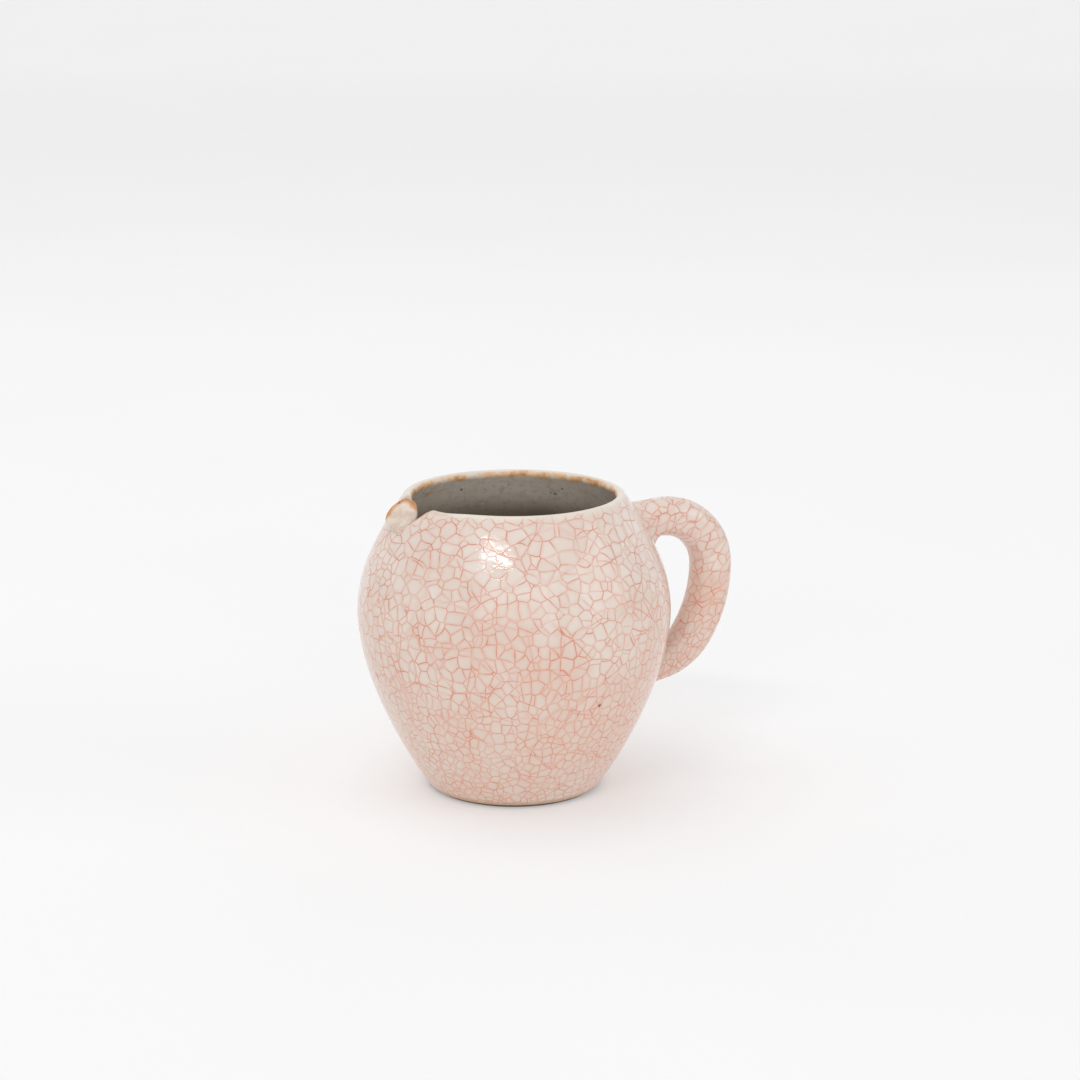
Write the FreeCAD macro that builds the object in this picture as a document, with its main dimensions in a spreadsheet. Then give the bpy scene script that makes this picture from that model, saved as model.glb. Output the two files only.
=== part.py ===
import FreeCAD, Part
import math
import os
import Sketcher

# A small crackle-glazed cream jug with an egg-shaped belly, a looped handle and a turned-over pouring lip.
# Row frame: the origin is the centre of the foot on the resting plane, +Z is up,
# the handle stands out along +X and the pouring lip points along -X. Millimetres and degrees throughout.

DRIVING_SIZES = [
    ("rim_height", 85.0, "height of the rim's crest above the resting plane"),
    ("wall", 2.8, "whole wall, clay and both coats of glaze"),
    ("coat", 0.35, "thickness of each coat of glaze"),
    ("belly_radius", 44.25, "largest radius of the glazed belly"),
    ("belly_height", 51.2, "height of the largest radius"),
    ("belly_curve", 38.1, "radius of the belly's arc"),
    ("shoulder_curve", 124.8, "radius of the shoulder's arc"),
    ("shoulder_angle", 25.0, "turn of the belly's arc up to the shoulder"),
    ("lower_curve", 74.3, "radius of the arc under the belly"),
    ("lower_angle", 7.3, "turn of the belly's arc down to the lower arc"),
    ("flank_curve", 132.7, "radius of the flank's arc"),
    ("flank_angle", 21.0, "turn down to the flank's arc"),
    ("floor_top", 6.2, "height of the clay floor inside"),
    ("floor_curve", 9.0, "radius between the clay floor and the clay wall"),
    ("glaze_line", 1.0, "height where the outer glaze stops above the foot"),
    ("foot_recess", 1.8, "depth of the turned recess inside the foot ring"),
    ("foot_inner", 18.6, "inner radius of the foot ring at the resting plane"),
    ("foot_outer", 23.1, "outer radius of the foot ring at the resting plane"),
    ("foot_bevel", 0.5, "height of the bevel round the foot"),
    ("recess_draft", 0.6, "how far the recess narrows towards the floor"),
    ("handle_reach", 62.0, "radius of the handle's centre line at its widest"),
    ("handle_waist", 58.1, "height of that widest point"),
    ("handle_top_curve", 16.4, "radius of the handle's upper bend"),
    ("handle_top_turn", 125.0, "turn of the upper bend, up to inside the shoulder"),
    ("handle_side_curve", 37.3, "radius of the handle's outer side"),
    ("handle_side_turn", 33.0, "turn of the outer side"),
    ("handle_low_curve", 16.9, "radius of the handle's lower bend"),
    ("handle_low_end", 33.0, "radius where the handle's lower end stops inside the clay"),
    ("handle_width", 12.0, "handle section across the loop, glaze included"),
    ("handle_depth", 11.4, "handle section in the plane of the loop, glaze included"),
    ("slip_flare", 6.0, "how much wider than the handle the joining slip starts inside the clay"),
    ("slip_edge", 0.2, "how much wider the slip is where it thins out on the handle"),
    ("upper_slip_turn", 99.0, "turn of the upper bend where the upper slip thins out"),
    ("lower_slip_start", 36.0, "radius where the lower slip starts inside the clay"),
    ("lower_slip_turn", 17.0, "turn of the lower bend where the lower slip thins out"),
    ("lip_thickness", 2.2, "thickness of the pouring lip"),
    ("lip_width", 11.6, "width of the pouring lip"),
    ("lip_root_radius", 31.5, "radius of the lip's root at mid thickness"),
    ("lip_root_height", 80.2, "height of the lip's root on the notched wall"),
    ("lip_bend", 1.7, "bend radius of the lip at mid thickness"),
    ("lip_lean", 31.0, "lean of the lip's root from the vertical"),
    ("lip_droop", 52.0, "slope of the turned-down lip below the horizontal"),
    ("lip_length", 5.2, "straight length of the lip beyond its bend"),
    ("lip_root_depth", 1.5, "how far the lip runs down to meet the notched wall"),
    ("lip_roll", 8.0, "roll of the lip, which hangs lower on its -Y side"),
    ("lip_corner", 4.8, "corner radius at the lip's free end"),
    ("notch_floor", 12.6, "width of the rim's notch at the lip's root"),
    ("notch_mouth", 17.0, "width of the rim's notch at the top"),
]

START, END, CENTRE = 1, 2, 3   # Sketcher's names for the points of a line or an arc
ORIGIN = (-1, START)           # the sketch's own origin
OVERRUN = 10.0                 # how far a cutting tool runs past what it cuts
NOTCH_DEPTH = 60.0             # the notch's tool runs from beyond the lip into the empty mouth

doc = FreeCAD.newDocument("CreamJug")


def make_sheet():
    table = doc.addObject("Spreadsheet::Sheet", "Sizes")
    for row, (alias, value, meaning) in enumerate(DRIVING_SIZES, start=1):
        table.set("A%d" % row, alias)
        table.set("B%d" % row, str(value))
        table.set("C%d" % row, meaning)
        table.setAlias("B%d" % row, alias)
    doc.recompute()
    return table


sheet = make_sheet()


def size(alias):
    return float(sheet.get(alias))


def polar(centre, radius, degrees):
    turn = math.radians(degrees)
    return (centre[0] + radius * math.cos(turn), centre[1] + radius * math.sin(turn))


def vector(point):
    return FreeCAD.Vector(point[0], point[1], 0)


# ---------------------------------------------------------------- sketches

class Outline:
    """A sketch on one of a body's own origin planes, with its sizes bound to the sheet."""

    def __init__(self, body, name, role="XZ_Plane"):
        self.sketch = body.newObject("Sketcher::SketchObject", name)
        plane = [item for item in body.Origin.OriginFeatures if item.Role == role][0]
        self.sketch.AttachmentSupport = [(plane, "")]
        self.sketch.MapMode = "FlatFace"

    def line(self, start, end, construction=False):
        return self.sketch.addGeometry(Part.LineSegment(vector(start), vector(end)), construction)

    def arc(self, centre, radius, first, last):
        circle = Part.Circle(vector(centre), FreeCAD.Vector(0, 0, 1), radius)
        arc = Part.ArcOfCircle(circle, math.radians(first), math.radians(last))
        return self.sketch.addGeometry(arc, False)

    def tie(self, kind, *references):
        return self.sketch.addConstraint(Sketcher.Constraint(kind, *references))

    def join(self, *references):
        self.tie("Coincident", *references)

    def drive(self, words, value, kind, *references):
        """Hold a dimension to an expression of the sheet's cells."""
        index = self.tie(kind, *references, value)
        self.sketch.setExpression("Constraints[%d]" % index, words)

    def place(self, item, point, position, across, up):
        self.drive(across, position[0], "DistanceX", *ORIGIN, item, point)
        self.drive(up, position[1], "DistanceY", *ORIGIN, item, point)

    def path(self, points):
        """Lines through the points, each joined to the next."""
        lines = [self.line(first, second) for first, second in zip(points, points[1:])]
        for first, second in zip(lines, lines[1:]):
            self.join(first, END, second, START)
        return lines

    def spoke(self, start, end, length_words):
        """A construction line whose length is driven, given with its start and end points."""
        line = self.line(start, end, construction=True)
        self.drive(length_words, math.dist(start, end), "Distance", line)
        return line

    def lean(self, line, words, degrees):
        self.drive(words + " * 1 deg", math.radians(degrees), "Angle", line)


class Wall:
    """The jug's wall in section.

    The clay and both coats are offsets of one chain of arcs: flank, lower belly, belly and shoulder.
    Each spoke joins the centres of two arcs that meet, and the arcs meet on the spoke's line,
    so they run smoothly into each other whatever the inset.
    """

    def __init__(self):
        self.belly = (size("belly_radius") - size("belly_curve"), size("belly_height"))
        shoulder_step = size("belly_curve") - size("shoulder_curve")
        self.shoulder = polar(self.belly, shoulder_step, size("shoulder_angle"))
        self.lower = polar(self.belly, size("belly_curve") - size("lower_curve"), -size("lower_angle"))
        self.flank = polar(self.lower, size("lower_curve") - size("flank_curve"), -size("flank_angle"))
        self.rim_reach = size("shoulder_curve") - size("wall") / 2
        rim_rise = size("rim_height") - size("wall") / 2 - self.shoulder[1]
        self.rim_angle = math.degrees(math.asin(rim_rise / self.rim_reach))
        self.rim = polar(self.shoulder, self.rim_reach, self.rim_angle)
        self.floor_reach = size("flank_curve") - size("wall") + size("coat") - size("floor_curve")
        floor_rise = size("floor_top") + size("floor_curve") - self.flank[1]
        self.floor_angle = math.degrees(math.asin(floor_rise / self.floor_reach))
        self.floor = polar(self.flank, self.floor_reach, self.floor_angle)

    def flank_turn(self, inset, height):
        return math.degrees(math.asin((height - self.flank[1]) / (size("flank_curve") - inset)))

    def crest(self, inset):
        return polar(self.rim, size("wall") / 2 - inset, 90)

    def frame(self, outline):
        """Draw the spokes that hold the arcs' centres."""
        self.outline = outline
        self.lower_spoke = outline.spoke(self.lower, self.belly, "Sizes.lower_curve - Sizes.belly_curve")
        outline.lean(self.lower_spoke, "-Sizes.lower_angle", -size("lower_angle"))
        belly_words = "Sizes.belly_radius - Sizes.belly_curve"
        outline.place(self.lower_spoke, END, self.belly, belly_words, "Sizes.belly_height")
        self.flank_spoke = outline.spoke(self.flank, self.lower, "Sizes.flank_curve - Sizes.lower_curve")
        outline.lean(self.flank_spoke, "-Sizes.flank_angle", -size("flank_angle"))
        outline.join(self.flank_spoke, END, self.lower_spoke, START)
        shoulder_words = "Sizes.shoulder_curve - Sizes.belly_curve"
        self.shoulder_spoke = outline.spoke(self.shoulder, self.belly, shoulder_words)
        outline.lean(self.shoulder_spoke, "Sizes.shoulder_angle", size("shoulder_angle"))
        outline.join(self.shoulder_spoke, END, self.lower_spoke, END)

    def rim_frame(self):
        """Add the spoke that holds the centre of the rounded rim."""
        outline = self.outline
        self.rim_spoke = outline.spoke(self.shoulder, self.rim, "Sizes.shoulder_curve - Sizes.wall / 2")
        outline.join(self.rim_spoke, START, self.shoulder_spoke, START)
        rim_words = "Sizes.rim_height - Sizes.wall / 2"
        outline.drive(rim_words, self.rim[1], "DistanceY", *ORIGIN, self.rim_spoke, END)

    def floor_frame(self):
        """Add the spoke that holds the centre of the curve between the floor and the wall."""
        outline = self.outline
        reach_words = "Sizes.flank_curve - Sizes.wall + Sizes.coat - Sizes.floor_curve"
        self.floor_spoke = outline.spoke(self.flank, self.floor, reach_words)
        outline.join(self.floor_spoke, START, self.flank_spoke, START)
        floor_words = "Sizes.floor_top + Sizes.floor_curve"
        outline.drive(floor_words, self.floor[1], "DistanceY", *ORIGIN, self.floor_spoke, END)

    def chain(self, inset, bottom_turn, words=None):
        """Draw the four arcs of one surface, and return them from the flank up to the shoulder."""
        outline = self.outline
        low, belly, top = -size("flank_angle"), -size("lower_angle"), size("shoulder_angle")
        flank_arc = outline.arc(self.flank, size("flank_curve") - inset, bottom_turn, low)
        lower_arc = outline.arc(self.lower, size("lower_curve") - inset, low, belly)
        belly_arc = outline.arc(self.belly, size("belly_curve") - inset, belly, top)
        shoulder_arc = outline.arc(self.shoulder, size("shoulder_curve") - inset, top, self.rim_angle)
        outline.join(flank_arc, CENTRE, self.flank_spoke, START)
        outline.join(lower_arc, CENTRE, self.lower_spoke, START)
        outline.join(belly_arc, CENTRE, self.lower_spoke, END)
        outline.join(shoulder_arc, CENTRE, self.shoulder_spoke, START)
        outline.join(flank_arc, END, lower_arc, START)
        outline.join(lower_arc, END, belly_arc, START)
        outline.join(belly_arc, END, shoulder_arc, START)
        outline.tie("PointOnObject", flank_arc, END, self.flank_spoke)
        outline.tie("PointOnObject", lower_arc, END, self.lower_spoke)
        outline.tie("PointOnObject", belly_arc, END, self.shoulder_spoke)
        if words:
            outline.drive("Sizes.belly_curve - " + words, size("belly_curve") - inset, "Radius", belly_arc)
        return flank_arc, lower_arc, belly_arc, shoulder_arc

    def rim_arc(self, radius, first, last, shoulder_arc, meeting):
        """Round the rim, meeting the shoulder at one end."""
        outline = self.outline
        arc = outline.arc(self.rim, radius, first, last)
        outline.join(arc, CENTRE, self.rim_spoke, END)
        outline.join(arc, meeting, shoulder_arc, END)
        outline.tie("PointOnObject", shoulder_arc, END, self.rim_spoke)
        return arc

    def floor_arc(self, radius, flank_arc):
        """Curve from the floor up to the wall."""
        outline = self.outline
        arc = outline.arc(self.floor, radius, -90, self.floor_angle)
        outline.join(arc, CENTRE, self.floor_spoke, END)
        outline.join(arc, END, flank_arc, START)
        outline.tie("PointOnObject", flank_arc, START, self.floor_spoke)
        outline.tie("Vertical", arc, CENTRE, arc, START)
        return arc


def new_body(name):
    body = doc.addObject("PartDesign::Body", name)
    body.Label = name
    return body


def revolve(body, outline):
    turned = body.newObject("PartDesign::Revolution", body.Name + "_turned")
    turned.Profile = outline.sketch
    turned.ReferenceAxis = (outline.sketch, ["V_Axis"])
    turned.Angle = 360
    return body


# ---------------------------------------------------------------- turned pieces

def thrown_clay():
    """Wall, floor and foot as one turned section: the foot ring is parted from it below."""
    body = new_body("thrown_clay")
    outline = Outline(body, "thrown_clay_section")
    wall = Wall()
    wall.frame(outline)
    wall.rim_frame()
    wall.floor_frame()
    coat, inner = size("coat"), size("wall") - size("coat")
    bevel = size("foot_bevel")
    outer_chain = wall.chain(coat, wall.flank_turn(coat, bevel), "Sizes.coat")
    inner_chain = wall.chain(inner, wall.floor_angle)
    rim = wall.rim_arc(size("wall") / 2 - coat, wall.rim_angle, wall.rim_angle + 180, outer_chain[3], START)
    outline.join(rim, END, inner_chain[3], END)
    outline.tie("PointOnObject", rim, END, wall.rim_spoke)
    curve = wall.floor_arc(size("floor_curve"), inner_chain[0])
    foot_edge = polar(wall.flank, size("flank_curve") - coat, wall.flank_turn(coat, bevel))
    recess = (size("foot_inner") - size("recess_draft"), size("foot_recess"))
    corners = [
        foot_edge,
        (size("foot_outer"), 0),
        (size("foot_inner"), 0),
        recess,
        (0, size("foot_recess")),
        (0, size("floor_top")),
        (wall.floor[0], size("floor_top")),
    ]
    bevel_line, sole, draft, underside, axis_line, floor = outline.path(corners)
    outline.join(bevel_line, START, outer_chain[0], START)
    outline.join(floor, END, curve, START)
    outline.drive("Sizes.foot_bevel", bevel, "DistanceY", *ORIGIN, bevel_line, START)
    outline.place(sole, START, corners[1], "Sizes.foot_outer", "0 mm")
    outline.place(sole, END, corners[2], "Sizes.foot_inner", "0 mm")
    outline.place(draft, END, recess, "Sizes.foot_inner - Sizes.recess_draft", "Sizes.foot_recess")
    outline.tie("Horizontal", underside)
    outline.tie("Vertical", axis_line)
    outline.tie("PointOnObject", axis_line, START, -2)
    outline.tie("Horizontal", floor)
    return revolve(body, outline)


def outer_coat():
    """The outer glaze: from just above the foot to the rim's crest."""
    body = new_body("outer_coat")
    outline = Outline(body, "outer_coat_section")
    wall = Wall()
    wall.frame(outline)
    wall.rim_frame()
    coat, bottom = size("coat"), size("glaze_line")
    skin = wall.chain(0, wall.flank_turn(0, bottom), "0")
    back = wall.chain(coat, wall.flank_turn(coat, bottom), "Sizes.coat")
    skin_rim = wall.rim_arc(size("wall") / 2, wall.rim_angle, 90, skin[3], START)
    back_rim = wall.rim_arc(size("wall") / 2 - coat, wall.rim_angle, 90, back[3], START)
    crest = outline.line(wall.crest(0), wall.crest(coat))
    outline.join(crest, START, skin_rim, END)
    outline.join(crest, END, back_rim, END)
    outline.tie("Vertical", skin_rim, CENTRE, skin_rim, END)
    outline.tie("Vertical", crest)
    skin_foot = polar(wall.flank, size("flank_curve"), wall.flank_turn(0, bottom))
    back_foot = polar(wall.flank, size("flank_curve") - coat, wall.flank_turn(coat, bottom))
    edge = outline.line(skin_foot, back_foot)
    outline.join(edge, START, skin[0], START)
    outline.join(edge, END, back[0], START)
    outline.tie("Horizontal", edge)
    outline.drive("Sizes.glaze_line", bottom, "DistanceY", *ORIGIN, edge, START)
    return revolve(body, outline)


def inner_coat():
    """The inner glaze: from the rim's crest down the wall and over the floor."""
    body = new_body("inner_coat")
    outline = Outline(body, "inner_coat_section")
    wall = Wall()
    wall.frame(outline)
    wall.rim_frame()
    wall.floor_frame()
    coat, back_inset = size("coat"), size("wall") - size("coat")
    back = wall.chain(back_inset, wall.floor_angle, "Sizes.wall + Sizes.coat")
    skin = wall.chain(size("wall"), wall.floor_angle, "Sizes.wall")
    turned_in = wall.rim_angle + 180
    back_rim = wall.rim_arc(size("wall") / 2 - coat, 90, turned_in, back[3], END)
    skin_rim = wall.rim_arc(size("wall") / 2, 90, turned_in, skin[3], END)
    crest = outline.line(wall.crest(0), wall.crest(coat))
    outline.join(crest, START, skin_rim, START)
    outline.join(crest, END, back_rim, START)
    outline.tie("Vertical", skin_rim, CENTRE, skin_rim, START)
    outline.tie("Vertical", crest)
    back_curve = wall.floor_arc(size("floor_curve"), back[0])
    skin_curve = wall.floor_arc(size("floor_curve") - coat, skin[0])
    low, high = size("floor_top"), size("floor_top") + coat
    corners = [(wall.floor[0], low), (0, low), (0, high), (wall.floor[0], high)]
    under, axis_line, floor = outline.path(corners)
    outline.join(under, START, back_curve, START)
    outline.join(floor, END, skin_curve, START)
    outline.tie("Horizontal", under)
    outline.tie("PointOnObject", under, END, -2)
    outline.tie("Vertical", axis_line)
    outline.tie("Horizontal", floor)
    return revolve(body, outline)


def filled_form(name, inset, words):
    """The jug's outside as a solid form, which the handle's pieces are cut to."""
    body = new_body(name)
    outline = Outline(body, name + "_section")
    wall = Wall()
    wall.frame(outline)
    wall.rim_frame()
    bottom = size("glaze_line")
    skin = wall.chain(inset, wall.flank_turn(inset, bottom), words)
    outline.tie("PointOnObject", skin[3], END, wall.rim_spoke)
    top = polar(wall.shoulder, size("shoulder_curve") - inset, wall.rim_angle)
    foot = polar(wall.flank, size("flank_curve") - inset, wall.flank_turn(inset, bottom))
    lid, axis_line, base = outline.path([top, (0, top[1]), (0, bottom), foot])
    outline.join(lid, START, skin[3], END)
    outline.join(base, END, skin[0], START)
    outline.tie("Horizontal", lid)
    outline.tie("Vertical", axis_line)
    outline.tie("PointOnObject", axis_line, START, -2)
    outline.tie("Horizontal", base)
    outline.drive("Sizes.glaze_line", bottom, "DistanceY", *ORIGIN, base, END)
    return revolve(body, outline)


# ---------------------------------------------------------------- handle

class Loop:
    """The handle's centre line in the XZ plane: an upper bend, an outer side and a lower bend."""

    def __init__(self):
        waist = size("handle_waist")
        self.top = (size("handle_reach") - size("handle_top_curve"), waist)
        self.side = (size("handle_reach") - size("handle_side_curve"), waist)
        self.side_end = -size("handle_side_turn")
        self.low = polar(self.side, size("handle_side_curve") - size("handle_low_curve"), self.side_end)
        self.low_end = polar(self.low, size("handle_low_curve"), -90)

    TOP_X = "(Sizes.handle_reach - Sizes.handle_top_curve)"
    SIDE_X = "(Sizes.handle_reach - Sizes.handle_side_curve)"
    INSIDE_STEP = "(Sizes.handle_side_curve - Sizes.handle_low_curve)"
    LOW_X = SIDE_X + " + " + INSIDE_STEP + " * cos(Sizes.handle_side_turn * 1 deg)"
    LOW_Z = "Sizes.handle_waist - " + INSIDE_STEP + " * sin(Sizes.handle_side_turn * 1 deg)"

    def draw(self, body, name):
        """Draw the centre line, starting inside the clay below and ending inside the shoulder."""
        outline = Outline(body, name)
        tail_start = (size("handle_low_end"), self.low_end[1])
        tail = outline.line(tail_start, self.low_end)
        low = outline.arc(self.low, size("handle_low_curve"), -90, self.side_end)
        side = outline.arc(self.side, size("handle_side_curve"), self.side_end, 0)
        top = outline.arc(self.top, size("handle_top_curve"), 0, size("handle_top_turn"))
        for arc, curve in ((low, "low"), (side, "side"), (top, "top")):
            words = "Sizes.handle_%s_curve" % curve
            outline.drive(words, size("handle_%s_curve" % curve), "Radius", arc)
        side_spoke = outline.line(self.side, self.low, construction=True)
        outline.join(side_spoke, START, side, CENTRE)
        outline.join(side_spoke, END, low, CENTRE)
        outline.lean(side_spoke, "-Sizes.handle_side_turn", self.side_end)
        top_end = polar(self.top, size("handle_top_curve"), size("handle_top_turn"))
        top_spoke = outline.line(self.top, top_end, construction=True)
        outline.join(top_spoke, START, top, CENTRE)
        outline.join(top_spoke, END, top, END)
        outline.lean(top_spoke, "Sizes.handle_top_turn", size("handle_top_turn"))
        outline.place(top, CENTRE, self.top, self.TOP_X, "Sizes.handle_waist")
        outline.tie("Horizontal", side, CENTRE, top, CENTRE)
        outline.join(tail, END, low, START)
        outline.join(low, END, side, START)
        outline.join(side, END, top, START)
        outline.tie("PointOnObject", side, START, side_spoke)
        outline.tie("Horizontal", top, CENTRE, top, START)
        outline.tie("Horizontal", tail)
        outline.tie("Vertical", low, CENTRE, low, START)
        outline.drive("Sizes.handle_low_end", tail_start[0], "DistanceX", *ORIGIN, tail, START)
        return outline


def oval(body, name, width, depth, width_words, depth_words):
    """An elliptical section centred on its sketch, wide along Y. Its caller sets where it stands."""
    outline = Outline(body, name, "YZ_Plane")
    ring = outline.sketch.addGeometry(Part.Ellipse(FreeCAD.Vector(0, 0, 0), width / 2, depth / 2), False)
    outline.sketch.exposeInternalGeometry(ring)
    major, minor = ring + 1, ring + 2
    outline.join(ring, CENTRE, *ORIGIN)
    outline.tie("Horizontal", major)
    outline.drive(width_words, width, "Distance", major)
    outline.drive(depth_words, depth, "Distance", minor)
    return outline.sketch


def stand(sketch, position, tilt, across_words, up_words, tilt_words):
    """Stand a section in the XZ plane with its normal tilted up from +X."""
    turn = FreeCAD.Rotation(FreeCAD.Vector(-1, 0, 0), tilt)
    sketch.AttachmentOffset = FreeCAD.Placement(FreeCAD.Vector(0, position[1], position[0]), turn)
    sketch.setExpression("AttachmentOffset.Base.z", across_words)
    sketch.setExpression("AttachmentOffset.Base.y", up_words)
    if tilt_words:
        sketch.setExpression("AttachmentOffset.Rotation.Angle", tilt_words)
    return sketch


def pipe(name, coat, coat_words):
    """The handle's rod: one section carried along the centre line, that far inside the glazed one."""
    body = new_body(name)
    loop = Loop()
    spine = loop.draw(body, name + "_line")
    section = oval(
        body,
        name + "_section",
        size("handle_width") - 2 * coat,
        size("handle_depth") - 2 * coat,
        "Sizes.handle_width - 2 * " + coat_words,
        "Sizes.handle_depth - 2 * " + coat_words,
    )
    low_end = (size("handle_low_end"), loop.low_end[1])
    stand(section, low_end, 0, "Sizes.handle_low_end", loop.LOW_Z + " - Sizes.handle_low_curve", None)
    rod = body.newObject("PartDesign::AdditivePipe", name + "_swept")
    rod.Profile = section
    rod.Spine = spine.sketch
    return body


def slip_form(name, places):
    """Joining slip: it starts wide inside the clay and thins out on the handle."""
    body = new_body(name)
    sections = []
    for number, (position, tilt, across, up, tilt_words) in enumerate(places):
        grow = ("slip_flare", "slip_edge")[number]
        section = oval(
            body,
            "%s_section_%d" % (name, number),
            size("handle_width") + size(grow),
            size("handle_depth") + size(grow),
            "Sizes.handle_width + Sizes." + grow,
            "Sizes.handle_depth + Sizes." + grow,
        )
        sections.append(stand(section, position, tilt, across, up, tilt_words))
    flare = body.newObject("PartDesign::AdditiveLoft", name + "_lofted")
    flare.Profile = sections[0]
    flare.Sections = sections[1:]
    flare.Ruled = True
    return body


def upper_place(alias):
    """A station on the handle's upper bend."""
    loop = Loop()
    turn = size(alias)
    return (
        polar(loop.top, size("handle_top_curve"), turn),
        turn - 90,
        "%s + Sizes.handle_top_curve * cos(Sizes.%s * 1 deg)" % (loop.TOP_X, alias),
        "Sizes.handle_waist + Sizes.handle_top_curve * sin(Sizes.%s * 1 deg)" % alias,
        "(Sizes.%s - 90) * 1 deg" % alias,
    )


def lower_places():
    """Two stations at the handle's lower end: inside the clay, and a little way round the lower bend."""
    loop = Loop()
    turn = size("lower_slip_turn")
    inside = (
        (size("lower_slip_start"), loop.low_end[1]),
        0,
        "Sizes.lower_slip_start",
        loop.LOW_Z + " - Sizes.handle_low_curve",
        None,
    )
    outside = (
        polar(loop.low, size("handle_low_curve"), turn - 90),
        turn,
        loop.LOW_X + " + Sizes.handle_low_curve * sin(Sizes.lower_slip_turn * 1 deg)",
        loop.LOW_Z + " - Sizes.handle_low_curve * cos(Sizes.lower_slip_turn * 1 deg)",
        "Sizes.lower_slip_turn * 1 deg",
    )
    return inside, outside


# ---------------------------------------------------------------- pouring lip

def lip_form():
    """A strip of the rim bent outwards and down, with its free end rounded."""
    body = new_body("lip_form")
    roll = FreeCAD.Rotation(FreeCAD.Vector(1, 0, 0), size("lip_roll"))
    body.Placement = FreeCAD.Placement(FreeCAD.Vector(0, 0, 0), roll)
    outline = Outline(body, "lip_section")
    lean, droop, bend = size("lip_lean"), size("lip_droop"), size("lip_bend")
    outer, inner = bend + size("lip_thickness") / 2, bend - size("lip_thickness") / 2
    root = (-size("lip_root_radius"), size("lip_root_height"))
    centre = polar(root, bend, 180 - lean)
    first, last = -lean, 90 + droop
    outer_arc = outline.arc(centre, outer, first, last)
    inner_arc = outline.arc(centre, inner, first, last)
    root_spoke = outline.line(centre, polar(centre, outer, first), construction=True)
    end_spoke = outline.line(centre, polar(centre, outer, last), construction=True)
    across = "-Sizes.lip_root_radius - Sizes.lip_bend * cos(Sizes.lip_lean * 1 deg)"
    up = "Sizes.lip_root_height + Sizes.lip_bend * sin(Sizes.lip_lean * 1 deg)"
    outline.place(outer_arc, CENTRE, centre, across, up)
    outline.join(inner_arc, CENTRE, outer_arc, CENTRE)
    outline.drive("Sizes.lip_bend + Sizes.lip_thickness / 2", outer, "Radius", outer_arc)
    outline.drive("Sizes.lip_bend - Sizes.lip_thickness / 2", inner, "Radius", inner_arc)
    for spoke, end, words, turn in (
        (root_spoke, START, "-Sizes.lip_lean", first),
        (end_spoke, END, "(90 + Sizes.lip_droop)", last),
    ):
        outline.join(spoke, START, outer_arc, CENTRE)
        outline.join(spoke, END, outer_arc, end)
        outline.tie("PointOnObject", inner_arc, end, spoke)
        outline.lean(spoke, words, turn)
    radii, arcs = (outer, inner), (outer_arc, inner_arc)
    draw_straight(outline, centre, radii, arcs, END, end_spoke, last, last + 90, "lip_length")
    draw_straight(outline, centre, radii, arcs, START, root_spoke, first, first - 90, "lip_root_depth")
    strip = body.newObject("PartDesign::Pad", "lip_strip")
    strip.Profile = outline.sketch
    strip.setExpression("Length", "Sizes.lip_width")
    strip.Midplane = True
    doc.recompute()
    free_end = body.newObject("PartDesign::Fillet", "lip_free_end")
    free_end.Base = (strip, free_end_edges(strip.Shape))
    free_end.setExpression("Radius", "Sizes.lip_corner")
    body.setExpression("Placement.Rotation.Angle", "Sizes.lip_roll * 1 deg")
    body.setExpression("Placement.Base.y", "Sizes.lip_root_height * sin(Sizes.lip_roll * 1 deg)")
    body.setExpression("Placement.Base.z", "Sizes.lip_root_height * (1 - cos(Sizes.lip_roll * 1 deg))")
    return body


def draw_straight(outline, centre, radii, arcs, end, spoke, turn, heading, length_alias):
    """Carry the strip straight on past one end of its bend, and close it off square."""
    length = size(length_alias)
    tips, sides = [], []
    for radius, arc in zip(radii, arcs):
        start = polar(centre, radius, turn)
        tip = polar(start, length, heading)
        side = outline.line(start, tip)
        outline.join(side, START, arc, end)
        outline.tie("Perpendicular", side, spoke)
        tips.append(tip)
        sides.append(side)
    cap = outline.line(tips[0], tips[1])
    outline.join(cap, START, sides[0], END)
    outline.join(cap, END, sides[1], END)
    outline.tie("Perpendicular", cap, sides[0])
    outline.drive("Sizes." + length_alias, length, "Distance", sides[0])


def free_end_edges(shape):
    """The two short edges at the strip's free end, furthest out along -X."""
    short = [
        number
        for number, edge in enumerate(shape.Edges, start=1)
        if abs(edge.Length - size("lip_thickness")) < 1e-3
        and abs(edge.Vertexes[0].Point.y - edge.Vertexes[-1].Point.y) < 1e-3
    ]
    short.sort(key=lambda number: shape.Edges[number - 1].CenterOfMass.x)
    return ["Edge%d" % number for number in short[:2]]


def notch_form():
    """The opening cut down into the rim where the lip is turned out."""
    body = new_body("notch_form")
    outline = Outline(body, "notch_outline", "YZ_Plane")
    floor, mouth = size("notch_floor") / 2, size("notch_mouth") / 2
    low, crest = size("lip_root_height"), size("rim_height")
    top = crest + OVERRUN
    corners = [(-floor, low), (floor, low), (mouth, crest), (mouth, top), (-mouth, top), (-mouth, crest)]
    base, slope, side, lid, far_side, far_slope = outline.path(corners + corners[:1])
    outline.join(far_slope, END, base, START)
    outline.tie("Symmetric", base, START, base, END, -2)
    outline.tie("Symmetric", side, START, far_side, END, -2)
    outline.tie("Vertical", side)
    outline.tie("Vertical", far_side)
    outline.tie("Horizontal", lid)
    outline.place(slope, START, corners[1], "Sizes.notch_floor / 2", "Sizes.lip_root_height")
    outline.place(slope, END, corners[2], "Sizes.notch_mouth / 2", "Sizes.rim_height")
    outline.drive("Sizes.rim_height + %s" % OVERRUN, top, "DistanceY", *ORIGIN, lid, START)
    opening = body.newObject("PartDesign::Pad", "notch_opening")
    opening.Profile = outline.sketch
    opening.Length = NOTCH_DEPTH
    opening.Reversed = True
    return body


# ---------------------------------------------------------------- assembly

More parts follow.
